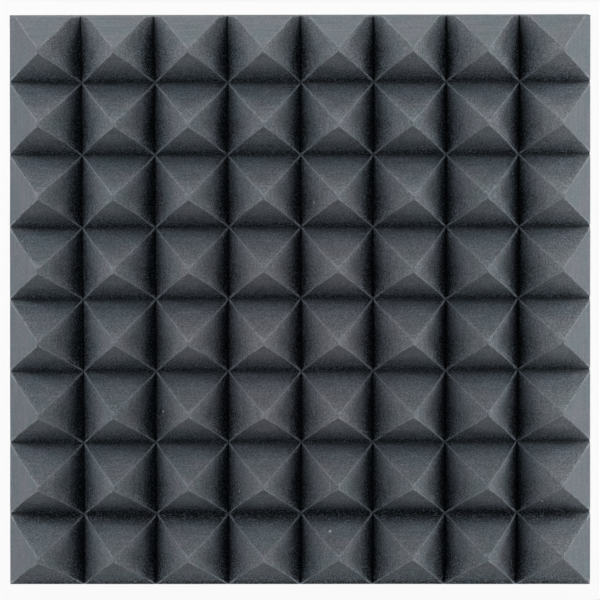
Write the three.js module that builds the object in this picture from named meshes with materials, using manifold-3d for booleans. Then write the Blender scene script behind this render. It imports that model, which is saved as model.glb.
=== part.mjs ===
// Acoustic foam tile: a slab of soft open-cell foam whose front is cut into square pyramids, with an
// adhesive film and a split release paper on its flat back.
// Millimetres, +Z up. The tile lies on its back with its pyramids pointing up. The origin is at the
// middle of the back, X runs along the rows of pyramids and Y along the columns.
import * as THREE from "three";
import { mergeVertices } from "three/addons/utils/BufferGeometryUtils.js";
import Module from "manifold-3d";

const wasm = await Module();
wasm.setup();

// Foam slab
const tile_length = 304.8; // along X
const tile_width = 301.5; // along Y
const foam_thickness = 50.8; // from the flat back to the pyramid tops

// Pyramid field, cut across the whole slab before the tile is cut out of it
const pyramid_pitch = 38.3; // one pyramid and its share of groove
const pyramid_height = 31.75; // from the groove floor to the pyramid top
const crest_radius = 0.8; // the saw leaves a slightly blunt crest
const root_radius = 0.6; // and a slightly round groove floor
const left_trim = 0.5; // lost from the first column where the tile is cut out
const front_trim = 0.2; // lost from the first row
const pass_step = 0.15; // the second pass of the saw, along X, runs this much above the first
const arc_steps = 2; // each arc is drawn with twice as many straight steps

// Adhesive back
const adhesive_thickness = 0.3;
const liner_thickness = 0.2;
const tack_strip_width = 60; // the part of the release paper that is peeled first
const slit_width = 0.4; // the cut between the two parts of the release paper

// Heights of the layers, from the face that rests on the wall
const adhesive_back = liner_thickness;
const foam_back = adhesive_back + adhesive_thickness;
const pyramid_top = foam_back + foam_thickness;
const groove_floor = pyramid_top - pyramid_height;

const foam = new THREE.MeshStandardMaterial({ color: "#4b4f54", roughness: 0.98, metalness: 0 });
const adhesive = new THREE.MeshStandardMaterial({ color: "#d9d6c8", roughness: 0.35, metalness: 0 });
const release_paper = new THREE.MeshStandardMaterial({ color: "#e9e3cf", roughness: 0.6, metalness: 0 });

// A closed geometry as a solid that can be cut.
function solidOf(geometry) {
  const bare = geometry.clone();
  bare.deleteAttribute("normal");
  bare.deleteAttribute("uv");
  const merged = mergeVertices(bare);
  return new wasm.Manifold(
    new wasm.Mesh({
      numProp: 3,
      vertProperties: new Float32Array(merged.attributes.position.array),
      triVerts: new Uint32Array(merged.index.array),
    }),
  );
}

// A solid as a geometry with flat-shaded facets.
function geometryOf(solid) {
  const { vertProperties, triVerts } = solid.getMesh();
  const indexed = new THREE.BufferGeometry()
    .setAttribute("position", new THREE.BufferAttribute(vertProperties, 3))
    .setIndex(new THREE.BufferAttribute(triVerts, 1));
  const geometry = indexed.toNonIndexed();
  geometry.computeVertexNormals();
  return geometry;
}

// The angle of a flank from the back of the slab. The flank is the straight line that touches the
// crest arc on one side and the groove arc on the other.
function flankAngle() {
  const both_radii = crest_radius + root_radius;
  const run = pyramid_pitch / 2;
  const rise = pyramid_height - both_radii;
  return Math.atan2(rise, run) + Math.asin(both_radii / Math.hypot(run, rise));
}

// The section of a slab with straight grooves, seen along the grooves. The first groove floor is at
// start, the slab reaches at least as far as end, and the saw runs at the given height above its lowest.
function groovedSection(start, end, raised) {
  const count = Math.ceil((end - start) / pyramid_pitch);
  const flank = flankAngle();
  const up = Math.PI / 2;
  const down = -Math.PI / 2;
  const floor = groove_floor + raised;
  const top = pyramid_top + raised;
  const section = new THREE.Shape();
  section.moveTo(start, foam_back);
  section.lineTo(start, floor);
  for (let i = 0; i <= count; i++) {
    const groove = start + i * pyramid_pitch;
    const from = i === 0 ? down : down - flank;
    const to = i === count ? down : down + flank;
    section.absarc(groove, floor + root_radius, root_radius, from, to, false);
    if (i < count) {
      const crest = groove + pyramid_pitch / 2;
      section.absarc(crest, top - crest_radius, crest_radius, up + flank, up - flank, true);
    }
  }
  section.lineTo(start + count * pyramid_pitch, foam_back);
  section.closePath();
  return section;
}

// A grooved slab: its section lies in the plane of across and Z, and its grooves run along the tile's
// other direction, from one cut side of the tile to the other.
function groovedSlab(section, length, across, along) {
  const slab = new THREE.ExtrudeGeometry(section, {
    depth: length,
    bevelEnabled: false,
    curveSegments: arc_steps,
  });
  const up = new THREE.Vector3(0, 0, 1);
  slab.applyMatrix4(new THREE.Matrix4().makeBasis(across, up, along));
  return slab.translate(...along.clone().multiplyScalar(-length / 2).toArray());
}

// Two sets of grooves cross at right angles. What is left under both of them is a field of pyramids,
// whose four edges run down to the crossings of the grooves.
function foamPanel() {
  const left = -tile_length / 2;
  const front = -tile_width / 2;
  const columns = groovedSlab(
    groovedSection(left - left_trim, -left, 0),
    tile_width,
    new THREE.Vector3(1, 0, 0),
    new THREE.Vector3(0, -1, 0),
  );
  const rows = groovedSlab(
    groovedSection(front - front_trim, -front, pass_step),
    tile_length,
    new THREE.Vector3(0, 1, 0),
    new THREE.Vector3(1, 0, 0),
  );
  return geometryOf(solidOf(columns).intersect(solidOf(rows)));
}

// A flat sheet that covers the back from one X to another over the whole width of the tile.
function sheet(from_x, to_x, thickness, z) {
  const outline = new THREE.Shape();
  outline.moveTo(from_x, -tile_width / 2);
  outline.lineTo(to_x, -tile_width / 2);
  outline.lineTo(to_x, tile_width / 2);
  outline.lineTo(from_x, tile_width / 2);
  outline.closePath();
  const cut = new THREE.ExtrudeGeometry(outline, { depth: thickness, bevelEnabled: false });
  return cut.translate(0, 0, z);
}

const tile = new THREE.Group();

function add(name, geometry, material) {
  const mesh = new THREE.Mesh(geometry, material);
  mesh.name = name;
  tile.add(mesh);
}

const left_side = -tile_length / 2;
const right_side = tile_length / 2;
const slit = left_side + tack_strip_width;

add("foam_panel", foamPanel(), foam);
add("adhesive_film", sheet(left_side, right_side, adhesive_thickness, adhesive_back), adhesive);
add("liner_tack_strip", sheet(left_side, slit - slit_width / 2, liner_thickness, 0), release_paper);
add("liner_main", sheet(slit + slit_width / 2, right_side, liner_thickness, 0), release_paper);

export default tile;
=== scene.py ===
# %% [markdown]
# # A pyramid foam tile
# This lesson dresses one acoustic foam tile: a soft slab whose front is sawn into pyramids, with an
# adhesive film and a split release paper on its flat back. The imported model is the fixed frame, and
# every size that it holds is read from it. Blender makes what the frame leaves plain, which is the
# soft sawn foam with its open cells, its blunt tops and its lighter cut ridges.

# %% The fixed frame
import math

import bpy
import bmesh
import numpy as np
from mathutils import Matrix, Vector, noise


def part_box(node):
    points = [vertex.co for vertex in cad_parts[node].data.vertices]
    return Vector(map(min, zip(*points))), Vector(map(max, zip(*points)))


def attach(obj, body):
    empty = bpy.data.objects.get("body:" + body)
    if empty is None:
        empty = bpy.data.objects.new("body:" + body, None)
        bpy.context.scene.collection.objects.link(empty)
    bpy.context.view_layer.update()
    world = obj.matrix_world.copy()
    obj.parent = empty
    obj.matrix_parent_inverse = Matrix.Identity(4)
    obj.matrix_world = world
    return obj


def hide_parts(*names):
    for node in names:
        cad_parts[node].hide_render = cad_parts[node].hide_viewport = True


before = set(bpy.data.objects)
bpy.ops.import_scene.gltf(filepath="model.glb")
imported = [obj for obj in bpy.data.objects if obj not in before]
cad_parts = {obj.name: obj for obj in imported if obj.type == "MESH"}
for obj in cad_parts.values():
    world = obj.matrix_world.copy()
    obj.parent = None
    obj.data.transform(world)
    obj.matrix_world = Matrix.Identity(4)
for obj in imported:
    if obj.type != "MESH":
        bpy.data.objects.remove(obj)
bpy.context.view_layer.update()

print("frame nodes:", sorted(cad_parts))

# %% [markdown]
# ## Sizes
# Blender works in metres, and the tile was measured in millimetres, so one factor turns one into the
# other. The outline and the heights come from the frame. The saw's own sizes aren't in the frame:
# the pitch of the cut, its depth and what the trim took off the first row and column.

# %% Sizes of the tile and of its cut
MM = 0.001
foam_low, foam_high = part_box("foam_panel")
tile_length = foam_high.x - foam_low.x
tile_width = foam_high.y - foam_low.y
foam_back = foam_low.z

pyramid_pitch = 38.3 * MM
pyramid_height = 31.75 * MM
pyramids_per_side = 8
left_trim = 0.5 * MM
front_trim = 0.2 * MM
groove_floor = foam_high.z - pyramid_height
first_groove = Vector((foam_low.x - left_trim, foam_low.y - front_trim, groove_floor))
print("tile", round(tile_length / MM, 1), "x", round(tile_width / MM, 1), "mm")

# %% [markdown]
# ## Camera
# The photograph looks down on the tile from far away, a little from its upper edge, so the camera
# stands 2.35 m off with a long lens. The lens is worked out from how much of the frame the tile
# fills. Distance, not the lens, sets how much the pyramids seem to lean, so it was settled first.

# %% Camera
photo_side = 600
tile_in_photo = 577
sensor_width = 36
camera_distance = 2.348
lean_towards_top = math.radians(7.80)
lean_towards_left = math.radians(1.38)
aim = Vector((0.24 * MM, 1.33 * MM, groove_floor))

camera_data = bpy.data.cameras.new("camera")
camera_data.sensor_width = sensor_width
camera_data.lens = sensor_width * camera_distance / tile_length * tile_in_photo / photo_side
camera_data.clip_end = 20
camera = bpy.data.objects.new("camera", camera_data)
bpy.context.scene.collection.objects.link(camera)
towards_camera = Vector((
    -math.sin(lean_towards_left),
    math.sin(lean_towards_top) * math.cos(lean_towards_left),
    math.cos(lean_towards_top) * math.cos(lean_towards_left),
))
right = Vector((0, 1, 0)).cross(towards_camera).normalized()
upwards = towards_camera.cross(right)
turned = Matrix((right, upwards, towards_camera)).transposed().to_4x4()
camera.matrix_world = Matrix.Translation(aim + towards_camera * camera_distance) @ turned
bpy.context.scene.camera = camera
bpy.context.scene.view_settings.view_transform = "Standard"
print("lens", round(camera_data.lens, 1), "mm")

# %% [markdown]
# ## Colours and nodes
# Colours are read off as sRGB hex values, and Blender's sockets hold linear light, so one function
# turns a hex value to linear. A second small function adds a shader node, sets its values and links
# its inputs. It works for every kind of node, so each material reads as a list of what is added.

# %% Helpers for materials
def colour(hex_value):
    """A linear colour with alpha from an sRGB hex value."""
    channels = [int(hex_value[i:i + 2], 16) / 255 for i in (1, 3, 5)]
    return [c / 12.92 if c <= 0.04045 else ((c + 0.055) / 1.055) ** 2.4 for c in channels] + [1]


def new_material(name):
    """An empty node material."""
    material = bpy.data.materials.new(name)
    material.use_nodes = True
    material.node_tree.nodes.clear()
    return material


def add(material, kind, inputs=(), **settings):
    """Add a node to a material or to the world. Settings are its own properties. Inputs come in
    order or by name, and each is a value, an output, or a node whose first output in use is meant."""
    node = material.node_tree.nodes.new("ShaderNode" + kind)
    for name, value in settings.items():
        setattr(node, name, value)
    named = inputs if isinstance(inputs, dict) else dict(enumerate(inputs))
    for key, value in named.items():
        if isinstance(value, bpy.types.Node):
            value = next(output for output in value.outputs if output.enabled)
        if isinstance(value, bpy.types.NodeSocket):
            material.node_tree.links.new(value, node.inputs[key])
        else:
            node.inputs[key].default_value = value
    return node


# A Mix node keeps its colour inputs in places 6 and 7, after the share in place 0
share_of, under, over = 0, 6, 7
mixed = {"data_type": "RGBA"}
multiplied = {"data_type": "RGBA", "blend_type": "MULTIPLY"}
smooth = {"interpolation_type": "SMOOTHSTEP"}

# %% [markdown]
# ## Floor
# The tile lies on a plain pale floor. The floor has an opening that the tile covers, so that the back
# can be looked at from beneath.

# %% Floor
floor_size = 8
opening_size = 0.3
hair = 0.02 * MM  # under the back, because two faces in one plane would flicker

bpy.ops.object.select_all(action="DESELECT")
bpy.ops.mesh.primitive_plane_add(size=floor_size, location=(0, 0, -hair))
floor = bpy.context.object
floor.name = "floor"
bpy.ops.object.mode_set(mode="EDIT")
bpy.ops.mesh.select_all(action="SELECT")
bpy.ops.mesh.inset(thickness=(floor_size - opening_size) / 2, depth=0)
bpy.ops.mesh.delete(type="FACE")
bpy.ops.object.mode_set(mode="OBJECT")
print("floor faces round the opening:", len(floor.data.polygons))

# %% [markdown]
# ## White surround
# To the lamps the floor is white paper, so it throws soft light on the tile's outer slopes. To the
# camera, and in reflections, it is mostly an even white glow, with a share of the lit paper left in so
# that the tile keeps its shadow. The world is white to the camera too, and almost dark to the tile.

# %% Paper floor and white world
paper_glow_share = 0.93
room_light = 0.004


def seen_directly(material):
    """1 for what the camera, a mirror or glass sees, and 0 for the light that falls on the tile."""
    path = add(material, "LightPath").outputs
    seen = add(material, "Math", (path["Is Camera Ray"], path["Is Glossy Ray"]), operation="MAXIMUM")
    return add(material, "Math", (seen, path["Is Transmission Ray"]), operation="MAXIMUM")


paper = new_material("white_paper_floor")
lit_paper = add(paper, "BsdfDiffuse", {"Color": colour("#f2f2f0")})
paper_glow = add(paper, "Emission", {"Color": colour("#ffffff"), "Strength": 1.0})
seen_paper = add(paper, "MixShader", (paper_glow_share, lit_paper, paper_glow))
paper_mix = add(paper, "MixShader", (seen_directly(paper), lit_paper, seen_paper))
add(paper, "OutputMaterial", {"Surface": paper_mix})
floor.data.materials.append(paper)

world = bpy.data.worlds.new("studio")
bpy.context.scene.world = world
world.use_nodes = True
world.node_tree.nodes.clear()
room = add(world, "Background", {"Color": colour("#ffffff"), "Strength": room_light})
white = add(world, "Background", {"Color": colour("#ffffff"), "Strength": 1.0})
world_mix = add(world, "MixShader", (seen_directly(world), room, white))
add(world, "OutputWorld", {"Surface": world_mix})
print("nodes in the floor and the world:", len(paper.node_tree.nodes), len(world.node_tree.nodes))

# %% [markdown]
# ## Lamps
# The grooves of this dark foam are black at the bottom, those that run up and down most of all, and
# the outer slopes are the lightest. So the light comes in low from all round, mostly from the left
# and the right, a little from the upper edge, and hardly any from straight above. Nine softboxes
# give that, and a tenth lights the back through the opening in the floor. The outer slopes are
# lighter still, so two narrow strips stand beside the tile, below its tops, where they reach nothing
# else. Angles are in degrees, and power is in watts.

# %% Softboxes and strips
def area_lamp(name, azimuth, elevation, distance, width, height, power, tone="#ffffff"):
    """An area lamp aimed at the tile. Azimuth 0 is +X and 90 is +Y, in degrees."""
    data = bpy.data.lights.new(name, "AREA")
    data.shape = "RECTANGLE"
    data.size = width
    data.size_y = height
    data.energy = power
    data.color = colour(tone)[:3]
    lamp = bpy.data.objects.new(name, data)
    bpy.context.scene.collection.objects.link(lamp)
    a, e = math.radians(azimuth), math.radians(elevation)
    away = Vector((math.cos(a) * math.cos(e), math.sin(a) * math.cos(e), math.sin(e)))
    lamp.location = away * distance
    lamp.rotation_euler = away.to_track_quat("Z", "Y").to_euler()
    lamp.visible_camera = False
    return lamp


box_width, box_height, box_distance = 0.7, 0.45, 1.5
softboxes = {
    "right_softbox": (0, 14, 8.0),
    "upper_right_softbox": (45, 24, 5.4),
    "upper_left_softbox": (150, 14, 5.0),
    "left_softbox": (180, 8, 6.1),
    "lower_left_softbox": (240, 14, 2.5),
    "lower_right_softbox": (300, 14, 3.2),
    "high_right_softbox": (0, 40, 1.5),
    "high_upper_left_softbox": (135, 40, 4.8),
    "high_left_softbox": (180, 40, 2.4),
    "back_softbox": (0, -90, 20),
}
for lamp_name, (azimuth, elevation, watts) in softboxes.items():
    area_lamp(lamp_name, azimuth, elevation, box_distance, box_width, box_height, watts)

strip_width, strip_height, strip_distance, strip_elevation = 0.9, 0.04, 1.2, 1.2
strip_tone = "#fafcf6"
strips = {"right_strip": (0, 5.25), "upper_strip": (90, 6.65)}
for lamp_name, (azimuth, watts) in strips.items():
    area_lamp(
        lamp_name, azimuth, strip_elevation, strip_distance, strip_width, strip_height, watts, strip_tone,
    )
print("lamps:", len(softboxes) + len(strips))

# %% [markdown]
# ## The foam: one pyramid, then the field
# The saw repeats one pyramid over the whole slab, so one is modelled and an Array repeats it. A plane
# one pitch wide is poked: its middle rises to the pyramid's top, and its diagonals become the four
# ridges. It is subdivided so that the surface can later sag and ripple like soft foam.

# %% One pyramid
flank_cuts = 22

bpy.ops.object.select_all(action="DESELECT")
bpy.ops.mesh.primitive_plane_add(size=pyramid_pitch)
foam = bpy.context.object
foam.name = "foam_tile"
bpy.ops.object.mode_set(mode="EDIT")
half_pitch = Vector((pyramid_pitch / 2, pyramid_pitch / 2, 0))
bpy.ops.transform.translate(value=first_groove + half_pitch)
bpy.ops.mesh.poke(offset=pyramid_height)
bpy.ops.mesh.select_all(action="SELECT")
bpy.ops.mesh.subdivide(number_cuts=flank_cuts)
bpy.ops.object.mode_set(mode="OBJECT")
print("one pyramid:", len(foam.data.polygons), "faces")


# %% The field of pyramids
def apply_modifier(piece, kind, name, **settings):
    """Add a modifier to a piece, set it and apply it."""
    modifier = piece.modifiers.new(name, kind)
    for key, value in settings.items():
        setattr(modifier, key, value)
    bpy.context.view_layer.objects.active = piece
    bpy.ops.object.modifier_apply(modifier=modifier.name)


weld = 0.02 * MM
for name, step in (("across", (pyramid_pitch, 0, 0)), ("up", (0, pyramid_pitch, 0))):
    apply_modifier(
        foam, "ARRAY", name, count=pyramids_per_side, use_relative_offset=False,
        use_constant_offset=True, constant_offset_displace=step,
        use_merge_vertices=True, merge_threshold=weld,
    )
print("field:", len(foam.data.polygons), "faces")

# %% [markdown]
# ## Blunt ridges and round grooves
# A blade through soft foam leaves no knife edge: ridges come out almost half a millimetre blunt and
# groove bottoms about as round. Both are bevelled now, chosen by their place. A ridge lies where the
# distances to the nearest groove along X and along Y are the same.

# %% Bevel the ridges and grooves
ridge_bevel = 0.45 * MM
near = 0.05 * MM


def select_edges(piece, wanted):
    """In edit mode, select only the edges for which wanted(edge) is true."""
    mesh = bmesh.from_edit_mesh(piece.data)
    bpy.ops.mesh.select_all(action="DESELECT")
    for edge in mesh.edges:
        if wanted(edge):
            edge.select_set(True)
    bmesh.update_edit_mesh(piece.data)
    return sum(edge.select for edge in mesh.edges)


def to_groove(value, first):
    """The distance from a place to the nearest groove of the set whose first groove is given."""
    share = ((value - first) / pyramid_pitch) % 1
    return min(share, 1 - share) * pyramid_pitch


def on_ridge(point):
    return abs(to_groove(point.x, first_groove.x) - to_groove(point.y, first_groove.y)) < near


def is_cut_edge(edge):
    """A ridge that runs down a diagonal, or the bottom of a groove inside the field."""
    a, b = edge.verts[0].co, edge.verts[1].co
    if edge.is_boundary:
        return False
    if max(a.z, b.z) < groove_floor + near:
        return True
    diagonal = abs(abs(a.x - b.x) - abs(a.y - b.y)) < near
    return diagonal and on_ridge(a) and on_ridge(b)


bpy.ops.object.mode_set(mode="EDIT")
bpy.ops.mesh.select_mode(type="EDGE")
print("cut edges:", select_edges(foam, is_cut_edge))
bpy.ops.mesh.bevel(offset=ridge_bevel, segments=2, affect="EDGES")
bpy.ops.object.mode_set(mode="OBJECT")
print("after bevel:", len(foam.data.polygons), "faces")

# %% [markdown]
# ## Cutting the tile out
# The tile is cut out of the sawn slab with four straight cuts, which fall close to the outer grooves.
# Each is a bisect that throws the outside away. Points that a cut leaves almost on top of each other
# are merged. The open rim is then extruded down to the flat back, divided into rows, and the back is
# closed with one face.

# %% Trim to the tile's outline
on_the_cut = 0.01 * MM
cuts = (
    ((foam_low.x, 0, 0), (1, 0, 0)),
    ((foam_high.x, 0, 0), (-1, 0, 0)),
    ((0, foam_low.y, 0), (0, 1, 0)),
    ((0, foam_high.y, 0), (0, -1, 0)),
)
bpy.ops.object.mode_set(mode="EDIT")
for place, inwards in cuts:
    bpy.ops.mesh.select_all(action="SELECT")
    bpy.ops.mesh.bisect(plane_co=place, plane_no=inwards, clear_inner=True, threshold=on_the_cut)
bpy.ops.mesh.select_all(action="SELECT")
bpy.ops.mesh.remove_doubles(threshold=weld)
print("trimmed:", len(bmesh.from_edit_mesh(foam.data).faces), "faces")

# %% Sides and back
side_rows = 8

print("rim edges:", select_edges(foam, lambda edge: edge.is_boundary))
bpy.ops.mesh.extrude_region_move(TRANSFORM_OT_translate={"value": (0, 0, foam_back - groove_floor)})
bpy.ops.transform.resize(value=(1, 1, 0), center_override=(0, 0, foam_back))
bpy.ops.mesh.edge_face_add()


def is_upright(edge):
    """An edge of the sides that runs from the back up to the rim."""
    a, b = edge.verts[0].co, edge.verts[1].co
    return abs(a.z - b.z) > near and min(a.z, b.z) < foam_back + near


print("upright edges:", select_edges(foam, is_upright))
bpy.ops.mesh.subdivide(number_cuts=side_rows - 1)
bpy.ops.mesh.select_all(action="SELECT")
bpy.ops.mesh.normals_make_consistent(inside=False)
print("open edges left:", select_edges(foam, lambda edge: edge.is_boundary))
bpy.ops.object.mode_set(mode="OBJECT")
triangles = sum(len(polygon.vertices) - 2 for polygon in foam.data.polygons)
print("closed tile:", len(foam.data.polygons), "faces,", triangles, "triangles")

# %% [markdown]
# ## From a perfect cut to soft foam
# Real foam gives under the blade. The tops lean a little outwards towards the left and right edges,
# more so in the lower rows, and each top is a short ridge along Y, because the second pass of the
# saw ran slightly high. These are small moves of every vertex, worked out from its place, so a
# formula does it better than dragging points by hand. Before the moves, each vertex's place in the
# cut, counted in pyramids, is kept in a UV map, so that the colours can follow the cut. An attribute
# marks the faces of the sides and the back, which have neither ridges nor kerfs.

# %% Keep the place in the cut as a UV map
mesh = foam.data
points = np.empty(len(mesh.vertices) * 3)
mesh.vertices.foreach_get("co", points)
points = points.reshape(-1, 3)
in_cut = (points[:, :2] - np.array(first_groove)[:2]) / pyramid_pitch
corner_vertex = np.empty(len(mesh.loops), dtype=int)
mesh.loops.foreach_get("vertex_index", corner_vertex)
for layer in list(mesh.uv_layers):
    mesh.uv_layers.remove(layer)
cut_map = mesh.uv_layers.new(name="place_in_cut")
cut_map.data.foreach_set("uv", in_cut[corner_vertex].ravel())
most_upright, facing_down = 0.1, -0.5  # of a face's normal along Z
side_faces = [abs(face.normal.z) < most_upright or face.normal.z < facing_down for face in mesh.polygons]
mesh.attributes.new("on_side", "FLOAT", "FACE").data.foreach_set("value", side_faces)
print("faces on the sides and back:", sum(side_faces))

# %% Lean the tops and draw them out into short ridges
outward_lean = 0.0222
lean_growth = 0.32
tops_aside = Vector((-0.65 * MM, 0.35 * MM))
ridge_half_left = 1.4 * MM
ridge_half_right = 0.7 * MM
ridge_hold = 3  # how fast the drawing out fades below the top
least_ring = 0.01 * MM  # so that nothing is divided by zero at the very top

rise = np.clip((points[:, 2] - groove_floor) / pyramid_height, 0, 1)
from_top = (in_cut % 1 - 0.5) * pyramid_pitch
ring = np.maximum(np.abs(from_top).max(axis=1), least_ring)
across_share = in_cut[:, 0] / pyramids_per_side
ridge_half = ridge_half_left + (ridge_half_right - ridge_half_left) * across_share
drawn_out = ridge_half * rise ** ridge_hold * from_top[:, 1] / ring
sides = np.array([tile_length, tile_width]) / 2
lean = outward_lean * (1 - lean_growth * points[:, 1] / sides[1]) * points[:, 0]
points[:, 1] += drawn_out + rise * tops_aside.y
points[:, 0] += rise * (lean + tops_aside.x)
print("largest lean", round(float(np.abs(lean).max()) / MM, 2), "mm")

# %% [markdown]
# ## A tile that is not quite square
# The photographed tile was trimmed a little out of square. Its cut face is wider at the bottom than
# the field of pyramids would make it, and its lower right corner reaches out the most. Each corner
# of the face gets its own pull, and the pull fades out towards the middle of the outer pyramids.
# The field inside the outline sits a fraction of a millimetre to the right and low.

# %% Pull the corners of the cut face
corner_pulls = {
    (-1, 1): (0.95 * MM, 0.6 * MM),
    (1, 1): (-0.1 * MM, 1.1 * MM),
    (1, -1): (2.35 * MM, -1.5 * MM),
    (-1, -1): (-1.4 * MM, 0),
}
pull_fade = 3
field_shift = np.array([0.35, -0.5]) * MM

place = points[:, :2] / sides
inner = 1 - pyramid_pitch / sides
reach = np.clip((np.abs(place) - inner) / (1 - inner), 0, 1) ** pull_fade
up_the_side = np.clip((points[:, 2] - foam_back) / (groove_floor - foam_back), 0, 1)
pull = np.zeros((len(points), 2))
for corner, amount in corner_pulls.items():
    share = (1 + place * corner) / 2
    pull += share.prod(axis=1)[:, None] * amount
points[:, :2] += pull * reach * up_the_side[:, None]
points[:, :2] += field_shift * (1 - reach.max(axis=1))[:, None] * up_the_side[:, None]
print("largest pull", round(float(np.abs(pull).max()) / MM, 2), "mm")

# %% [markdown]
# ## Ripples and kerfs
# The whole surface of soft foam ripples by fractions of a millimetre, in long swells, shorter ripples
# and small tears. The ripples fade out towards the glued back and the cut outline. The blade also
# leaves a kerf at the bottom of each groove, where the foam is split a little deeper than its walls.

# %% Ripple the surface and open the kerf
swell_size = 55 * MM
swell = 0.5 * MM
ripple_size = 13 * MM
ripple = 0.32 * MM
tear_size = 3.2 * MM
tear = 0.14 * MM
kerf_width = 0.9 * MM
kerf_depth = 1.0 * MM
kerf_margin = 2 * kerf_width  # under the groove floor; lower points are on the sides and the back
glued_height = 9 * MM
straight_margin = 12 * MM
least_free = 0.12
ripple_seed = 7  # without a seed the ripples would come out different in each run
noise.seed_set(ripple_seed)


def wander(place, size, reach):
    """A smooth random move of up to reach that changes over the given size."""
    return noise.noise_vector(Vector(place) / size) * reach


free = np.clip((points[:, 2] - foam_back) / glued_height, 0, 1)
from_outline = (sides - np.abs(points[:, :2])).min(axis=1)
free *= least_free + (1 - least_free) * np.clip(from_outline / straight_margin, 0, 1)
moves = np.array([
    wander(p, swell_size, swell) + wander(p, ripple_size, ripple) + wander(p, tear_size, tear)
    for p in points
])
groove_distance = (0.5 - np.abs(in_cut % 1 - 0.5)).min(axis=1) * pyramid_pitch
in_kerf = (groove_distance < kerf_width / 2) & (points[:, 2] > groove_floor - kerf_margin)
points += moves * free[:, None]
points[in_kerf, 2] -= kerf_depth * (1 - 2 * groove_distance[in_kerf] / kerf_width)
mesh.vertices.foreach_set("co", points.ravel())
mesh.update()
for polygon in mesh.polygons:
    polygon.use_smooth = True
print("largest move", round(float(np.abs(moves).max()) / MM, 2), "mm")

# %% [markdown]
# ## The foam's finish
# This is flexible polyurethane foam, dyed charcoal and sawn. The blade cuts its cells open, so the
# surface is a dead matt net of struts round dark pores. Everything is a pattern on Object coordinates,
# apart from what follows the cut through its UV map, where places are counted in pyramids. First come
# the distances that the rest is drawn with.

# %% Places in the cut
middle_of_pitch = 0.5
slope_turn = (0.45, 0.55)  # below this a place is on a lower slope, and above it on an upper one

foam_look = new_material("polyurethane_foam")
space = add(foam_look, "TexCoord").outputs["Object"]
place_in_cut = add(foam_look, "UVMap", uv_map="place_in_cut")
cut_axes = add(foam_look, "SeparateXYZ", (place_in_cut,))
cut_x, cut_y = cut_axes.outputs[0], cut_axes.outputs[1]
across = add(foam_look, "Math", (cut_x, middle_of_pitch), operation="PINGPONG")
along = add(foam_look, "Math", (cut_y, middle_of_pitch), operation="PINGPONG")
depth_in_cut = add(foam_look, "Math", (across, along), operation="MINIMUM")
beside_column = add(foam_look, "Math", (across, along), operation="LESS_THAN")
beside_row = add(foam_look, "Math", (1.0, beside_column), operation="SUBTRACT")
row_share = add(foam_look, "Math", (cut_y,), operation="FRACT")
on_upper_slope = add(foam_look, "MapRange", (row_share, *slope_turn, 0.0, 1.0), **smooth)
on_side = add(foam_look, "Attribute", attribute_name="on_side").outputs["Fac"]
on_cut = add(foam_look, "Math", (1.0, on_side), operation="SUBTRACT")
foam_nodes = foam_look.node_tree.nodes
print("nodes so far:", len(foam_nodes))

# %% [markdown]
# ## Where the grooves get painted shade
# The painted shade of the grooves stays off the tile's left, right and upper slopes, and the lower
# slope is painted darker like the sides of a groove. So a place on one of those outer slopes is held at
# the distance of a crest, and what is held lies outside. The painted shade also fades where a groove
# runs out at an open end, which lets light in.

# %% Where the grooves get painted shade
first_crest = 0.5
last_crest = pyramids_per_side - 0.5
right_edge = (tile_length / 2 - first_groove[0]) / pyramid_pitch
upper_edge = (tile_width / 2 - first_groove[1]) / pyramid_pitch
hardly_held = 0.001
open_end_reach, open_end_shading_share = 0.4, 0.2
shade_from, shade_to = 0.02, 0.34  # distances from a groove, in pyramids

column_place = add(foam_look, "Clamp", (cut_x, first_crest, last_crest))
row_place = add(foam_look, "Clamp", (cut_y, 0.0, last_crest))
inner_across = add(foam_look, "Math", (column_place, middle_of_pitch), operation="PINGPONG")
inner_along = add(foam_look, "Math", (row_place, middle_of_pitch), operation="PINGPONG")
from_groove = add(foam_look, "Math", (inner_across, inner_along), operation="MINIMUM")
held_across = add(foam_look, "Math", (inner_across, across), operation="SUBTRACT")
held_along = add(foam_look, "Math", (inner_along, along), operation="SUBTRACT")
past_column = add(foam_look, "Math", (beside_column, held_across), operation="MULTIPLY")
past_row = add(foam_look, "Math", (beside_row, held_along), operation="MULTIPLY")
past_either = add(foam_look, "Math", (past_column, past_row), operation="MAXIMUM")
inside = add(foam_look, "Math", (past_either, hardly_held), operation="LESS_THAN")

to_right = add(foam_look, "Math", (right_edge, cut_x), operation="SUBTRACT")
to_upper = add(foam_look, "Math", (upper_edge, cut_y), operation="SUBTRACT")
to_corner = add(foam_look, "Math", (to_right, to_upper), operation="MINIMUM")
to_open_end = add(foam_look, "Math", (cut_x, to_corner), operation="MINIMUM")
open_end_shading = add(foam_look, "MapRange", (to_open_end, 0.0, open_end_reach, open_end_shading_share, 1.0), **smooth)
# Painted shade: where the grooves are painted darker, off the outer slopes and less at open ends
groove_shading = add(foam_look, "Math", (inside, open_end_shading), operation="MULTIPLY")
near_groove = add(foam_look, "MapRange", (from_groove, shade_from, shade_to, 1.0, 0.0), **smooth)
shaded_near_groove = add(foam_look, "Math", (near_groove, groove_shading), operation="MULTIPLY")
shaded_low_down = add(foam_look, "Math", (shaded_near_groove, on_cut), operation="MULTIPLY")
print("nodes so far:", len(foam_nodes))

# %% [markdown]
# ## Open cells
# Real cells are about half a millimetre wide, which is one dot of the picture, so they are drawn at
# 0.9 mm to show. A Voronoi pattern gives dark pores with paler struts between them. Down in the
# grooves the pores are painted darker, as painted shade, but less so on the upper slopes. The tile's
# outer slopes are calmest.

# %% Pores and struts
cell_size = 0.9 * MM
pore_rim, strut_middle = 0.15, 0.75  # distance from the middle of a cell, in cells
fuzz_fineness = 1.6  # times as fine as the cells
upper_slope_pore_shade = 0.2

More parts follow.
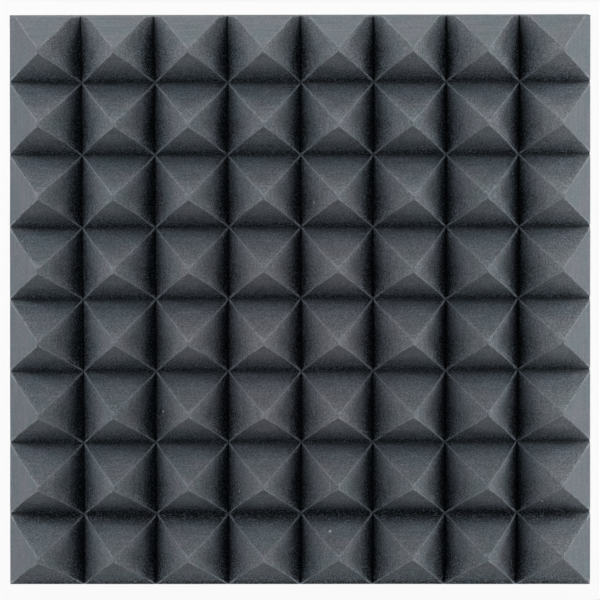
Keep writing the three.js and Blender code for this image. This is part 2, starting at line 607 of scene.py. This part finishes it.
cells = add(foam_look, "TexVoronoi", {"Vector": space, "Scale": 1 / cell_size}, feature="F1")
strut = add(foam_look, "MapRange", (cells, pore_rim, strut_middle, 0.0, 1.0), **smooth)
fuzz = add(foam_look, "TexNoise", {"Vector": space, "Scale": fuzz_fineness / cell_size, "Detail": 2.0})
# Less painted pore shade on the upper slopes
opening = add(foam_look, "MapRange", (on_upper_slope, 0.0, 1.0, 1.0, upper_slope_pore_shade), **smooth)
pore_shading = add(foam_look, "Math", (shaded_low_down, opening), operation="MULTIPLY")
outer_pore, inner_pore, shaded_pore = colour("#d6d6d6"), colour("#bebebe"), colour("#404040")
outer_strut, inner_strut = colour("#eeeeee"), colour("#ffffff")
shut_pore = add(foam_look, "Mix", {share_of: inside, under: outer_pore, over: inner_pore}, **mixed)
strut_tone = add(foam_look, "Mix", {share_of: inside, under: outer_strut, over: inner_strut}, **mixed)
# Painted shade: low down in the grooves the pores are painted darker
pore = add(foam_look, "Mix", {share_of: pore_shading, under: shut_pore, over: shaded_pore}, **mixed)
pored = add(foam_look, "Mix", {share_of: strut, under: pore, over: strut_tone}, **mixed)
print("nodes so far:", len(foam_nodes))

# %% [markdown]
# ## Dye
# The dye is a little uneven, from greenish to bluish grey, and warmer in the middle of the tile. The
# pyramids next to the upper and right edges are painted paler, a painted light as from the white surround.

# %% Uneven charcoal dye and painted edge light
tint_size = 13 * MM
tint_turn = (0.35, 0.65)  # of the noise: greenish below, bluish above
warm_middle = (0, -12 * MM, groove_floor)
warm_reach = 105 * MM
warm_core = 0.3 * warm_reach
warm_share = 0.7
edge_light_from, edge_light_to = 0.4, 1.0
edge_light_right, edge_light_upper = 0.36, 0.14

tint = add(foam_look, "TexNoise", {"Vector": space, "Scale": 1 / tint_size, "Detail": 3.0})
bluish = add(foam_look, "MapRange", (tint, *tint_turn, 0.0, 1.0), **smooth)
foam_tone = add(foam_look, "Mix", {share_of: bluish, under: colour("#7c868c"), over: colour("#83868e")}, **mixed)
from_middle = add(foam_look, "VectorMath", (space, warm_middle), operation="DISTANCE")
warmth = add(foam_look, "MapRange", (from_middle, warm_core, warm_reach, warm_share, 0.0), **smooth)
foam_tone = add(foam_look, "Mix", {share_of: warmth, under: foam_tone, over: colour("#86878e")}, **mixed)
# Painted light: paler towards the right and upper edges, as if lit from the white surround
by_right = add(foam_look, "MapRange", (to_right, edge_light_from, edge_light_to, edge_light_right, 0.0), **smooth)
by_upper = add(foam_look, "MapRange", (to_upper, edge_light_from, edge_light_to, edge_light_upper, 0.0), **smooth)
lit_by_edges = add(foam_look, "Math", (by_right, by_upper), operation="MAXIMUM")
edge_light_inside = add(foam_look, "Math", (lit_by_edges, inside), operation="MULTIPLY")
painted_edge_light = add(foam_look, "Math", (edge_light_inside, on_cut), operation="MULTIPLY")
foam_tone = add(foam_look, "Mix", {share_of: painted_edge_light, under: foam_tone, over: colour("#a4aab0")}, **mixed)
body = add(foam_look, "Mix", {share_of: 1.0, under: foam_tone, over: pored}, **multiplied)
print("nodes so far:", len(foam_nodes))

# %% [markdown]
# ## Saw marks
# The blade leaves faint marks that run along the groove beside each flank. A noise is stretched that
# way, and each pyramid gets its own part of the noise.

# %% Marks beside each flank
saw_mark_size = 0.8 * MM
saw_mark_length = 22 * MM
mark_turn = (0.3, 0.7)  # of the noise: marked below, clean above
row_step = 3.7  # not a whole number, so that no two pyramids near each other share their marks

run = add(foam_look, "Mix", {share_of: beside_column, 2: cut_x, 3: cut_y}, data_type="FLOAT")
column_number = add(foam_look, "Math", (cut_x,), operation="FLOOR")
row_number = add(foam_look, "Math", (cut_y,), operation="FLOOR")
row_part = add(foam_look, "Math", (row_number, row_step), operation="MULTIPLY")
which = add(foam_look, "Math", (column_number, row_part), operation="ADD")
mark_across = add(foam_look, "Math", (depth_in_cut, pyramid_pitch / saw_mark_size), operation="MULTIPLY")
mark_along = add(foam_look, "Math", (run, pyramid_pitch / saw_mark_length), operation="MULTIPLY")
mark_place = add(foam_look, "CombineXYZ", (mark_across, mark_along, which))
marks = add(foam_look, "TexNoise", {"Vector": mark_place, "Scale": 1.0, "Detail": 2.0})
clean = add(foam_look, "MapRange", (marks, *mark_turn, 0.0, 1.0), **smooth)
marked = add(foam_look, "Mix", {share_of: clean, under: colour("#f0f0f0"), over: colour("#ffffff")}, **mixed)
body = add(foam_look, "Mix", {share_of: 1.0, under: body, over: marked}, **multiplied)
print("nodes so far:", len(foam_nodes))

# %% [markdown]
# ## Torn ridges with a painted highlight
# Where two cuts meet, the struts are torn and raised along the ridge and on the top. They are paler,
# and the light that they catch is painted in as well, as a painted highlight. The pale line is widest at
# the foot of a ridge, wavers with the fuzz and comes and goes in patches, and it is fainter on the upper
# slopes.

# %% Pale ridges with a painted highlight
ridge_line = 0.1 * MM
ridge_fade = 0.55 * MM
ridge_foot = 1.0 * MM
foot_height = 0.15
fuzz_swing = 0.8 * MM
fuzz_middle = fuzz_swing / 2  # what the fuzz adds on average
ridge_patch_size = 4 * MM
patch_turn, patch_shares = (0.35, 0.65), (0.6, 1.2)
pale_foot, pale_top, pale_height = 0.9, 0.38, 0.2
upper_slope_share = 0.75

off_diagonal = add(foam_look, "Math", (across, along), operation="SUBTRACT")
beside_diagonal = add(foam_look, "Math", (off_diagonal,), operation="ABSOLUTE")
from_ridge = add(foam_look, "Math", (beside_diagonal, pyramid_pitch / math.sqrt(2)), operation="MULTIPLY")
wavering = add(foam_look, "Math", (fuzz, fuzz_swing, from_ridge), operation="MULTIPLY_ADD")
ridge_reaches = (ridge_foot + fuzz_middle, ridge_fade + fuzz_middle)
ridge_reach = add(foam_look, "MapRange", (depth_in_cut, 0.0, foot_height, *ridge_reaches), **smooth)
ridge = add(foam_look, "MapRange", (wavering, ridge_line + fuzz_middle, ridge_reach, 1.0, 0.0), **smooth)
patches = add(foam_look, "TexNoise", {"Vector": space, "Scale": 1 / ridge_patch_size, "Detail": 1.0})
patchy = add(foam_look, "MapRange", (patches, *patch_turn, *patch_shares), **smooth)
by_height = add(foam_look, "MapRange", (depth_in_cut, 0.0, pale_height, pale_foot, pale_top), **smooth)
by_slope = add(foam_look, "MapRange", (on_upper_slope, 0.0, 1.0, 1.0, upper_slope_share), **smooth)
torn_by_height = add(foam_look, "Math", (patchy, by_height), operation="MULTIPLY")
torn = add(foam_look, "Math", (torn_by_height, by_slope), operation="MULTIPLY")
torn_and_lit_ridge = add(foam_look, "Math", (ridge, torn), operation="MULTIPLY")
ridge_highlight_share = add(foam_look, "Math", (torn_and_lit_ridge, on_cut), operation="MULTIPLY")
# Painted highlight along the ridges, on top of their paler torn struts
body = add(foam_look, "Mix", {share_of: ridge_highlight_share, under: body, over: colour("#a4aab0")}, **mixed)
print("nodes so far:", len(foam_nodes))

# %% [markdown]
# ## Painted shade in the grooves
# The bottom of each groove is painted dark, as painted shade, apart from the tips of its struts and the
# feet of the ridges. The column grooves get a wider band of painted shade than the rows. Each band is
# set a little aside, to the left of a column groove and above a row groove. The lowest groove gets the
# darkest painted shade of all, and the tile's lower slope is painted darker towards its foot. Low down
# in the grooves the foam is also painted a little bluish, a painted bluish shade.

# %% Painted shade bands in the grooves
column_band_aside, row_band_aside = 0.03, 0.028  # these and the reaches are in pyramids
column_reach, row_reach = 0.18, 0.08
band_shade = 0.36
lowest_groove, lowest_reach, lowest_band_shade = 1.0, 0.16, 0.28
foot_reach, foot_band_shade = 0.13, 0.6
tip_from, tip_to = 0.5, 0.75  # distance from the middle of a cell, in cells

column_aside = add(foam_look, "Math", (column_place, column_band_aside), operation="ADD")
row_aside = add(foam_look, "Math", (row_place, row_band_aside), operation="SUBTRACT")
from_shaded_column = add(foam_look, "Math", (column_aside, middle_of_pitch), operation="PINGPONG")
from_shaded_row = add(foam_look, "Math", (row_aside, middle_of_pitch), operation="PINGPONG")
column_shade = add(foam_look, "MapRange", (from_shaded_column, 0.0, column_reach, band_shade, 1.0), **smooth)
row_shade = add(foam_look, "MapRange", (from_shaded_row, 0.0, row_reach, band_shade, 1.0), **smooth)
band = add(foam_look, "Math", (column_shade, row_shade), operation="MULTIPLY")
above_lowest = add(foam_look, "Math", (row_place, lowest_groove), operation="SUBTRACT")
from_lowest = add(foam_look, "Math", (above_lowest,), operation="ABSOLUTE")
lowest_shade = add(foam_look, "MapRange", (from_lowest, 0.0, lowest_reach, lowest_band_shade, 1.0), **smooth)
foot_shade = add(foam_look, "MapRange", (row_place, 0.0, foot_reach, foot_band_shade, 1.0), **smooth)
low_shade = add(foam_look, "Math", (lowest_shade, foot_shade), operation="MULTIPLY")
groove_shade = add(foam_look, "Math", (band, low_shade), operation="MULTIPLY")
strut_tips = add(foam_look, "MapRange", (cells, tip_from, tip_to, 0.0, 1.0), **smooth)
tips = add(foam_look, "Math", (strut_tips, ridge), operation="MAXIMUM")
unshaded = add(foam_look, "Math", (tips, on_side), operation="MAXIMUM")
shade_but_tips = add(foam_look, "Math", (groove_shade, unshaded), operation="MAXIMUM")
# Painted shade: the grooves and the lower slope's foot are painted darker
painted_groove_shade = add(foam_look, "MapRange", (groove_shading, 0.0, 1.0, 1.0, shade_but_tips), **smooth)
painted_groove_grey = add(foam_look, "CombineColor", (painted_groove_shade, painted_groove_shade, painted_groove_shade))
body = add(foam_look, "Mix", {share_of: 1.0, under: body, over: painted_groove_grey}, **multiplied)
# Painted bluish shade low down in the grooves
body = add(foam_look, "Mix", {share_of: shaded_low_down, under: body, over: colour("#edf7ff")}, **multiplied)
print("nodes so far:", len(foam_nodes))

# %% [markdown]
# ## Dust and relief
# A few specks of pale dust lie on the foam. A second Voronoi pattern drops one speck in a few of its
# wide cells, at a size picked by the cell's own colour. The pores and the fuzz also stand out as
# relief. The skin is fully rough and hardly shines, because sawn foam scatters all the light.

# %% Specks, relief and skin
speck_spacing = 8 * MM
largest_speck = 0.1
speck_choice = 0.94  # only the cells above this get a speck
pore_relief, fuzz_relief = 0.35 * MM, 0.3 * MM

dust = add(foam_look, "TexVoronoi", {"Vector": space, "Scale": 1 / speck_spacing}, feature="F1").outputs
dice = add(foam_look, "SeparateColor", (dust["Color"],)).outputs
chosen = add(foam_look, "Math", (dice[0], speck_choice), operation="GREATER_THAN")
speck_radius = add(foam_look, "Math", (dice[1], largest_speck), operation="MULTIPLY")
within_speck = add(foam_look, "Math", (dust["Distance"], speck_radius), operation="LESS_THAN")
speck = add(foam_look, "Math", (chosen, within_speck), operation="MULTIPLY")
body = add(foam_look, "Mix", {share_of: speck, under: body, over: colour("#dfe2e2")}, **mixed)

pores = add(foam_look, "Bump", {"Strength": 0.6, "Distance": pore_relief, "Height": strut})
grain = add(foam_look, "Bump", {"Strength": 0.25, "Distance": fuzz_relief, "Height": fuzz, "Normal": pores})
foam_skin = add(foam_look, "BsdfPrincipled", {
    "Base Color": body, "Roughness": 1.0, "IOR": 1.45, "Specular IOR Level": 0.1, "Normal": grain,
})
add(foam_look, "OutputMaterial", {"Surface": foam_skin})
foam.data.materials.append(foam_look)
print("nodes in the foam:", len(foam_nodes))

# %% The foam takes the place of its frame node
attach(foam, "root")
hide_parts("foam_panel")

# %% [markdown]
# ## The sticky back
# The film and the release paper keep their shapes from the frame and only need materials. The film
# is a pressure-sensitive acrylic adhesive: milky, a little yellow, and shiny where it is smooth. It is
# spread in fine strokes along Y, with tiny trapped bubbles.

# %% Acrylic adhesive
stroke_width, stroke_length, bubble_spacing = 0.8 * MM, 14 * MM, 2.2 * MM
bubble_core, bubble_rim = 0.1, 0.22  # in bubble spacings
stroke_relief = 0.05 * MM

adhesive = new_material("acrylic_adhesive")
space = add(adhesive, "TexCoord").outputs["Object"]
stroke_stretch = (1 / stroke_width, 1 / stroke_length, 1 / stroke_width)
stroke_place = add(adhesive, "VectorMath", (space, stroke_stretch), operation="MULTIPLY")
strokes = add(adhesive, "TexNoise", {"Vector": stroke_place, "Scale": 1.0})
bubbles = add(adhesive, "TexVoronoi", {"Vector": space, "Scale": 1 / bubble_spacing}, feature="F1")
bubble = add(adhesive, "MapRange", (bubbles, bubble_core, bubble_rim, 1.0, 0.0))
film = add(adhesive, "Mix", {share_of: strokes, under: colour("#cfccbb"), over: colour("#e0ddcf")}, **mixed)
spotted = add(adhesive, "Mix", {share_of: bubble, under: film, over: colour("#efede4")}, **mixed)
stroked = add(adhesive, "Bump", {"Strength": 0.3, "Distance": stroke_relief, "Height": strokes})
film_skin = add(adhesive, "BsdfPrincipled", {
    "Base Color": spotted, "Roughness": 0.35, "IOR": 1.47, "Normal": stroked,
})
add(adhesive, "OutputMaterial", {"Surface": film_skin})
print("nodes in the adhesive:", len(adhesive.node_tree.nodes))

# %% [markdown]
# ## Release paper
# The paper is kraft paper with a silicone coat, so it is cream and has a low sheen. Short fibres show
# faintly in its colour, soft clouds of pulp under them, and it is slightly cockled.

# %% Silicone release paper
fibre_width, fibre_length, cloud_size, cockle_size = 0.6 * MM, 1.8 * MM, 9 * MM, 28 * MM
fibre_from, fibre_to, fibre_share = 0.4, 0.75, 0.25
cockle_relief, fibre_relief = 0.4 * MM, 0.04 * MM

kraft = new_material("silicone_release_paper")
space = add(kraft, "TexCoord").outputs["Object"]
fibre_stretch = (1 / fibre_length, 1 / fibre_width, 1 / fibre_width)
fibre_place = add(kraft, "VectorMath", (space, fibre_stretch), operation="MULTIPLY")
fibres = add(kraft, "TexNoise", {"Vector": fibre_place, "Scale": 1.0})
clouds = add(kraft, "TexNoise", {"Vector": space, "Scale": 1 / cloud_size, "Detail": 3.0})
cockle = add(kraft, "TexNoise", {"Vector": space, "Scale": 1 / cockle_size, "Detail": 1.0})
pulp = add(kraft, "Mix", {share_of: clouds, under: colour("#e2d9be"), over: colour("#ece5d0")}, **mixed)
threads = add(kraft, "MapRange", (fibres, fibre_from, fibre_to, 0.0, fibre_share))
sheet = add(kraft, "Mix", {share_of: threads, under: pulp, over: colour("#cbbf9e")}, **mixed)
cockled = add(kraft, "Bump", {"Strength": 0.25, "Distance": cockle_relief, "Height": cockle})
fibred = add(kraft, "Bump", {
    "Strength": 0.1, "Distance": fibre_relief, "Height": fibres, "Normal": cockled,
})
paper_skin = add(kraft, "BsdfPrincipled", {
    "Base Color": sheet, "Roughness": 0.5, "IOR": 1.43, "Normal": fibred,
})
add(kraft, "OutputMaterial", {"Surface": paper_skin})
print("nodes in the paper:", len(kraft.node_tree.nodes))

# %% The frame nodes get their materials
backing = {"adhesive_film": adhesive, "liner_tack_strip": kraft, "liner_main": kraft}
for node_name, material in backing.items():
    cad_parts[node_name].data.materials.clear()
    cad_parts[node_name].data.materials.append(material)
print("backing:", sorted(backing))
